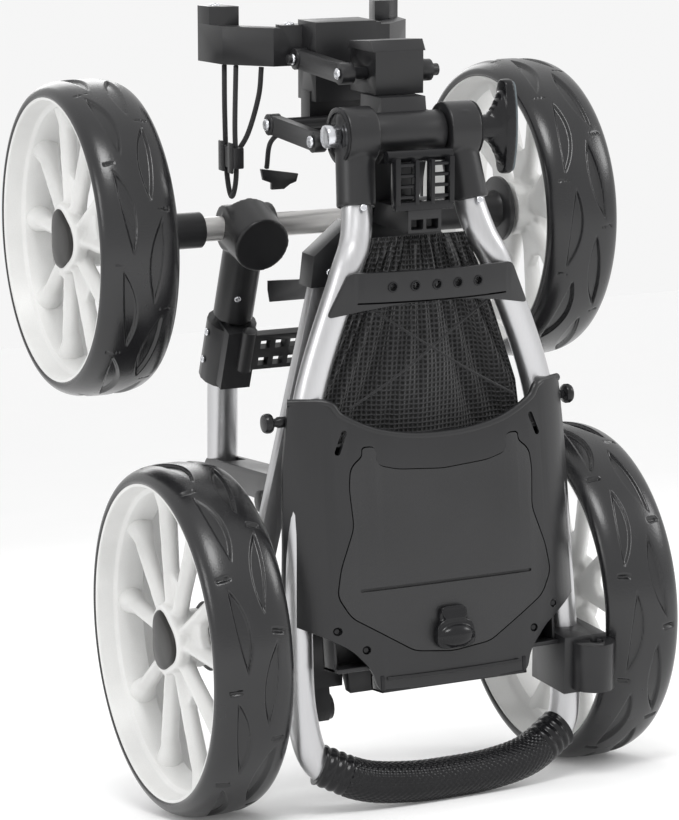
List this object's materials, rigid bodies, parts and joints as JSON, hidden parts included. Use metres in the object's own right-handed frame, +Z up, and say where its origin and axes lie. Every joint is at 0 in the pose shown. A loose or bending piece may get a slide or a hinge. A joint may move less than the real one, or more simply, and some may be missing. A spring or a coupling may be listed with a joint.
{
  "type": "golf push cart",
  "caption": "Folding golf push cart, folded and standing on its rear wheels and handle grip: white dished wheels, silver tubes, black console with lid, net pocket, bag cradle.",
  "frame": {"origin": "middle of the bounding box, on the floor that the folded cart stands on", "axes": "+X along the wheel axles to the right seen from the handle side, -Y the handle and console side, +Z up"},
  "size_m": [0.472, 0.3756, 0.6736],
  "materials": {
    "black_plastic": "satin",
    "silver_tube": "satin",
    "wheel_white": "satin",
    "tyre": "satin",
    "grip_rubber": "gloss",
    "mesh_fabric": "matte",
    "cord": "matte",
    "steel": "satin"
  },
  "bodies": {
    "main_frame": {"rear_axle": "silver_tube", "rear_collar_left": "black_plastic", "rear_collar_right": "black_plastic", "frame_leg_left": "silver_tube", "frame_leg_right": "silver_tube", "frame_cross_bar": "black_plastic", "pivot_arm_left": "black_plastic", "pivot_arm_right": "black_plastic", "frame_top_bracket": "black_plastic", "hinge_bolt": "steel", "hinge_catch": "black_plastic", "frame_head": "black_plastic", "lower_bracket": "black_plastic", "strut_rest": "black_plastic"},
    "front_fork": {"strut_tube_left": "silver_tube", "strut_tube_right": "silver_tube", "strut_clamp_left": "black_plastic", "strut_clamp_right": "black_plastic"},
    "front_axle_set": {"inner_tube_left": "silver_tube", "inner_tube_right": "silver_tube", "tee_joint_left": "black_plastic", "tee_joint_right": "black_plastic", "front_collar_left": "black_plastic", "front_collar_right": "black_plastic", "front_axle": "silver_tube"},
    "handle": {"handle_tube": "silver_tube", "handle_grip": "grip_rubber", "handle_socket_left": "black_plastic", "handle_socket_right": "black_plastic", "tee_plate": "black_plastic", "console_shell": "black_plastic", "side_knob_left": "black_plastic", "side_knob_right": "black_plastic", "accessory_clamp": "black_plastic", "mesh_bag": "mesh_fabric"},
    "hinge_lever": {"hinge_lock_lever": "black_plastic"},
    "knob": {"angle_knob": "black_plastic"},
    "lid": {"console_lid": "black_plastic"},
    "latch": {"lid_latch": "grip_rubber"},
    "brake": {"brake_lever": "black_plastic"},
    "upper_link": {"upper_link": "black_plastic"},
    "lower_link": {"lower_link": "black_plastic"},
    "cradle": {"bag_cradle": "black_plastic", "strap_cord_left": "cord", "strap_cord_right": "cord", "strap_handle": "black_plastic"},
    "clamp_toggle_left": {"clamp_lever_left": "black_plastic"},
    "rear_wheel_left": {"rear_tyre_left": "tyre", "rear_rim_left": "wheel_white", "rear_hub_cap_left": "black_plastic"},
    "front_wheel_left": {"front_tyre_left": "tyre", "front_rim_left": "wheel_white", "front_hub_cap_left": "black_plastic"},
    "clamp_toggle_right": {"clamp_lever_right": "black_plastic"},
    "rear_wheel_right": {"rear_tyre_right": "tyre", "rear_rim_right": "wheel_white", "rear_hub_cap_right": "black_plastic"},
    "front_wheel_right": {"front_tyre_right": "tyre", "front_rim_right": "wheel_white", "front_hub_cap_right": "black_plastic"}
  },
  "joints": [
    {"name": "front_fork_swing", "type": "hinge", "parent": "main_frame", "child": "front_fork", "pos_m": [0, 0.15949, 0.27243], "axis": [-1, 0, 0], "range_deg": [0, 100]},
    {"name": "front_axle_slide", "type": "slide", "parent": "front_fork", "child": "front_axle_set", "axis": [0, -0.5441, 0.839], "range_m": [0, 0.03]},
    {"name": "clamp_toggle_left", "type": "hinge", "parent": "front_fork", "child": "clamp_toggle_left", "pos_m": [-0.056, 0.08377, 0.37752], "axis": [0, 0.5441, -0.839], "range_deg": [0, 90]},
    {"name": "rear_wheel_left_spin", "type": "hinge", "parent": "main_frame", "child": "rear_wheel_left", "pos_m": [-0.176, -0.02672, 0.146], "axis": [1, 0, 0], "continuous": true},
    {"name": "front_wheel_left_spin", "type": "hinge", "parent": "front_axle_set", "child": "front_wheel_left", "pos_m": [-0.204, 0.05543, 0.48371], "axis": [1, 0, 0], "continuous": true},
    {"name": "clamp_toggle_right", "type": "hinge", "parent": "front_fork", "child": "clamp_toggle_right", "pos_m": [0.06, 0.08377, 0.37752], "axis": [0, 0.5441, -0.839], "range_deg": [0, 90]},
    {"name": "rear_wheel_right_spin", "type": "hinge", "parent": "main_frame", "child": "rear_wheel_right", "pos_m": [0.176, -0.02672, 0.146], "axis": [1, 0, 0], "continuous": true},
    {"name": "front_wheel_right_spin", "type": "hinge", "parent": "front_axle_set", "child": "front_wheel_right", "pos_m": [0.204, 0.05543, 0.48371], "axis": [1, 0, 0], "continuous": true},
    {"name": "handle_fold", "type": "hinge", "parent": "main_frame", "child": "handle", "pos_m": [0, -0.15091, 0.54306], "axis": [-1, 0, 0], "range_deg": [0, 170]},
    {"name": "hinge_lever_lift", "type": "hinge", "parent": "main_frame", "child": "hinge_lever", "pos_m": [0, -0.17116, 0.52252], "axis": [-1, 0, 0], "range_deg": [0, 60]},
    {"name": "angle_knob_turn", "type": "hinge", "parent": "handle", "child": "knob", "pos_m": [0.09, -0.15091, 0.54306], "axis": [1, 0, 0], "continuous": true},
    {"name": "lid_open", "type": "hinge", "parent": "handle", "child": "lid", "pos_m": [0, -0.1668, 0.29117], "axis": [-1, 0, 0], "range_deg": [0, 95]},
    {"name": "latch_flip", "type": "hinge", "parent": "lid", "child": "latch", "pos_m": [0, -0.16417, 0.15858], "axis": [-1, 0, 0], "range_deg": [0, 60]},
    {"name": "brake_press", "type": "hinge", "parent": "main_frame", "child": "brake", "pos_m": [-0.016, -0.00251, 0.13264], "axis": [-1, 0, 0], "range_deg": [0, 30]},
    {"name": "cradle_lift", "type": "hinge", "parent": "main_frame", "child": "upper_link", "pos_m": [0, -0.12186, 0.59504], "axis": [1, 0, 0], "range_deg": [0, 50]},
    {"name": "lower_link_turn", "type": "hinge", "parent": "main_frame", "child": "lower_link", "pos_m": [0, -0.12403, 0.54148], "axis": [1, 0, 0], "range_deg": [0, 50]},
    {"name": "cradle_level", "type": "hinge", "parent": "upper_link", "child": "cradle", "pos_m": [0, -0.0365, 0.61682], "axis": [1, 0, 0], "range_deg": [-50, 0]}
  ],
  "couplings": [
    {"joint": "lower_link_turn", "follows": "cradle_lift", "ratio": 1},
    {"joint": "cradle_level", "follows": "cradle_lift", "ratio": -1}
  ]
}
